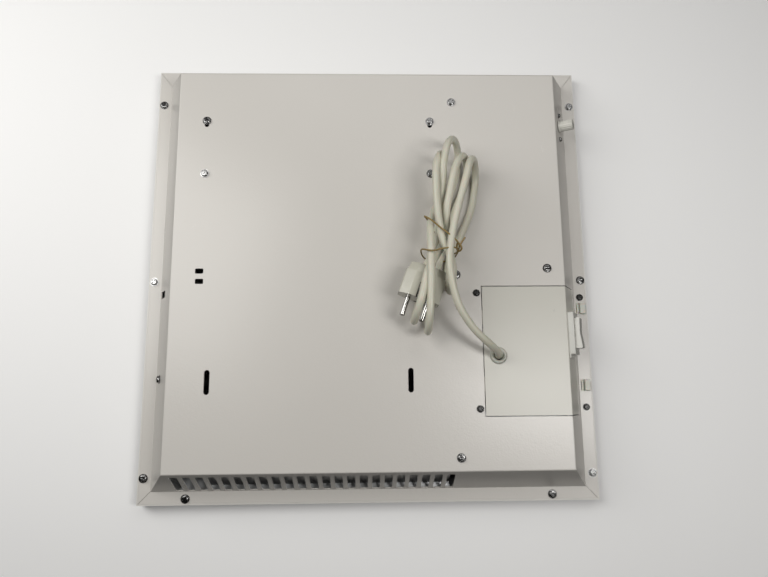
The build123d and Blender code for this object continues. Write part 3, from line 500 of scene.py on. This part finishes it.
finishes["driver_case"] = make_finish(
    "driver_case_plastic", (0.78, 0.78, 0.76), (0.82, 0.82, 0.80), (0.38, 0.50), marks=True,
    relief=(mould_grain, {"Scale": 900.0}), depth=0.02)
finishes["dark_plastic"] = make_finish(
    "black_moulding", (0.025, 0.025, 0.028), (0.045, 0.045, 0.048), (0.32, 0.45), blotch=60.0,
    relief=(mould_grain, {"Scale": 1400.0}), depth=0.015)
print("plastics ready, finishes so far", len(finishes))

# %% [markdown]
# ### The light's own sheets
#
# On the front an opal sheet spreads the light. Behind it lie a clear light guide, a white film and the two
# rows of light-emitting diodes, which a white board carries. The lamp is off here, so nothing glows.

# %% Optical sheets and diodes
finishes["opal_acrylic"] = make_finish(
    "opal_sheet", (0.80, 0.81, 0.80), (0.82, 0.82, 0.81), (0.22, 0.30), marks=True, mark_share=0.10,
    blotch=5.0, relief=(mould_grain, {"Scale": 1300.0}), depth=0.006,
    Subsurface_Weight=0.4, Subsurface_Scale=0.004)
finishes["clear_acrylic"] = make_finish(
    "light_guide_acrylic", (0.86, 0.92, 0.92), (0.88, 0.93, 0.93), (0.04, 0.08), blotch=5.0,
    Transmission_Weight=0.85, IOR=1.49)
finishes["white_film"] = make_finish(
    "reflecting_film", (0.84, 0.84, 0.84), (0.87, 0.87, 0.87), (0.45, 0.55), blotch=10.0,
    relief=(orange_peel, {"Scale": 300.0}), depth=0.02)
finishes["board_white"] = make_finish(
    "white_solder_mask", (0.74, 0.75, 0.72), (0.78, 0.79, 0.76), (0.25, 0.35), blotch=60.0,
    relief=(mould_grain, {"Scale": 1800.0}), depth=0.006)
finishes["led_phosphor"] = make_finish(
    "phosphor_yellow", (0.80, 0.62, 0.13), (0.84, 0.68, 0.20), (0.20, 0.30), blotch=500.0,
    relief=(mould_grain, {"Scale": 3000.0}), depth=0.01)
print("all finishes", len(finishes))

# %% [markdown]
# ## Put the finishes on
#
# The record says which slot each node takes its finish from, so one loop dresses all the CAD nodes. The
# soft pieces made here take theirs by name.

# %% Dress the nodes and the soft pieces
slot_of = {entry["node"]: entry["material_slot"] for entry in frame["record"]["subparts"]}
for node, slot in slot_of.items():
    piece = bpy.data.objects[node]
    if not piece.material_slots:
        piece.data.materials.append(None)
    for holder in piece.material_slots:
        holder.material = finishes[slot]
lead.data.materials.append(finishes["cord_pvc"])
for part in band_parts:
    part.data.materials.append(finishes["band_rubber"])
print("dressed", len(slot_of), "nodes and", 1 + len(band_parts), "soft pieces")

# %% [markdown]
# ## Floor and lamps
#
# The floor is a large pale sheet. Three soft boxes light the panel. The strongest is large and stands on the
# left, the one on the right is smaller, so it draws the lead's shadow, and a wide weak one beyond the upper
# edge fills in. Nothing stands on the vented side, so the slope there stays dark. The lamps also show,
# blurred, in the semi-gloss paint, and give the plate its slow change of tone.

# %% Floor
FLOOR_REACH = 6.0
floor_mesh = bpy.data.meshes.new("floor")
FLOOR_DROP = 0.5 * MM            # below the panel, so that the two faces don't coincide
corners = [(x * FLOOR_REACH, y * FLOOR_REACH, -FLOOR_DROP) for x, y in ((-1, -1), (1, -1), (1, 1), (-1, 1))]
floor_mesh.from_pydata(corners, [], [(0, 1, 2, 3)])
floor = bpy.data.objects.new("floor", floor_mesh)
bpy.context.collection.objects.link(floor)
floor_material = bpy.data.materials.new("pale_floor")
floor_material.use_nodes = True
floor_shader = floor_material.node_tree.nodes["Principled BSDF"]
floor_shader.inputs["Base Color"].default_value = (0.98, 0.98, 0.98, 1.0)
floor_shader.inputs["Roughness"].default_value = 0.9
floor_mesh.materials.append(floor_material)
floor.visible_diffuse = False       # its bounce and its reflection would wash out the dark slope
floor.visible_glossy = False
print("floor", 2 * FLOOR_REACH, "m square")


# %% Lamps
def soft_box(name, place, target, width, height, watts, tint=(1.0, 1.0, 1.0)):
    """A rectangular area lamp that faces the target."""
    data = bpy.data.lights.new(name, "AREA")
    data.shape = "RECTANGLE"
    data.size, data.size_y = width, height
    data.energy = watts
    data.color = tint
    lamp = bpy.data.objects.new(name, data)
    bpy.context.collection.objects.link(lamp)
    lamp.location = place
    lamp.rotation_euler = (Vector(place) - Vector(target)).to_track_quat("Z", "Y").to_euler()
    return lamp


soft_box("box_left", (-0.62, 0.24, 0.72), (-0.1, 0.05, 0), 0.5, 0.9, 5.8, (1.0, 0.99, 0.965))
soft_box("box_right", (0.50, -0.14, 1.0), (0.05, 0, 0), 0.24, 0.5, 4.2, (1.0, 0.985, 0.96))
soft_box("box_beyond", (0.2, 0.60, 0.80), (0, 0.1, 0), 1.0, 0.35, 1.4, (1.0, 0.99, 0.97))

# %% Room light
world = bpy.data.worlds.new("studio")
world.use_nodes = True
room = world.node_tree.nodes["Background"]
room.inputs["Color"].default_value = (1.0, 0.99, 0.97, 1.0)
room.inputs["Strength"].default_value = 0.004
bpy.context.scene.world = world
bpy.context.scene.view_settings.view_transform = "Standard"
